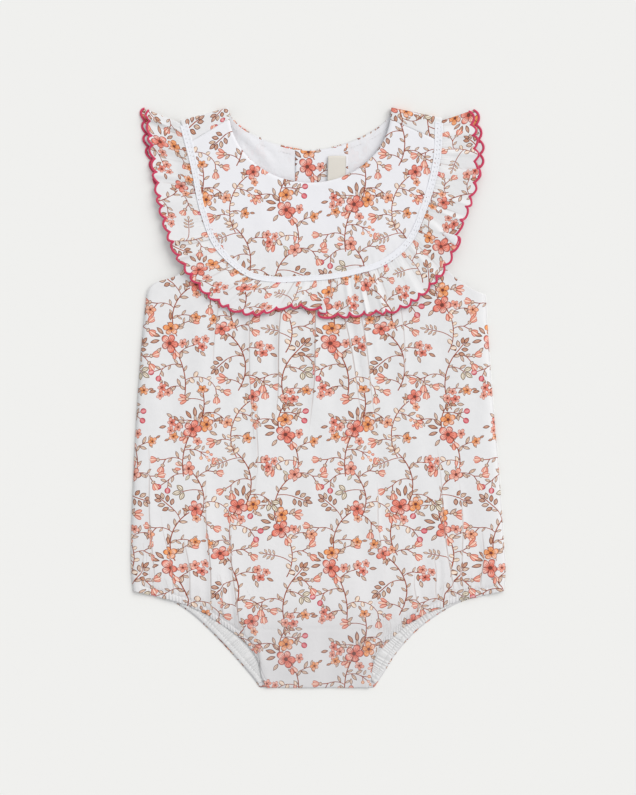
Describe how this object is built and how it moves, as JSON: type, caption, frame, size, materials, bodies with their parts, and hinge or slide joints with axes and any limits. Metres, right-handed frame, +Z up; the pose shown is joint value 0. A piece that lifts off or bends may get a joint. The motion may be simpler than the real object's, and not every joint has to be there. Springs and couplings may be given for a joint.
{
  "type": "baby romper",
  "caption": "Sleeveless baby romper laid flat: gathered body with elasticated leg openings, round yoke with lace, and a scalloped flounce over the shoulders.",
  "frame": {"origin": "middle of the garment's outline, on the surface it lies on", "axes": "+X across the garment to the picture's right, +Y from the crotch to the neck, +Z up from the surface"},
  "size_m": [0.2756, 0.427, 0.0094],
  "materials": {
    "printed_cotton": "matte white cotton lawn with a small trailing flower print",
    "plain_cotton": "matte white cotton, unprinted",
    "lace": "white cotton openwork lace",
    "label": "soft satin tape, blank",
    "edge_thread": "raspberry overlock thread, slight sheen"
  },
  "bodies": {
    "root": {"back_body": "printed_cotton", "back_yoke_left": "printed_cotton", "back_yoke_right": "printed_cotton", "back_placket": "printed_cotton", "neck_label": "label", "leg_casing_left": "plain_cotton", "leg_casing_right": "plain_cotton", "front_body": "printed_cotton", "front_yoke": "printed_cotton", "ruffle_front": "printed_cotton", "ruffle_back_left": "printed_cotton", "ruffle_back_right": "printed_cotton", "lace_trim": "lace"}
  },
  "joints": []
}
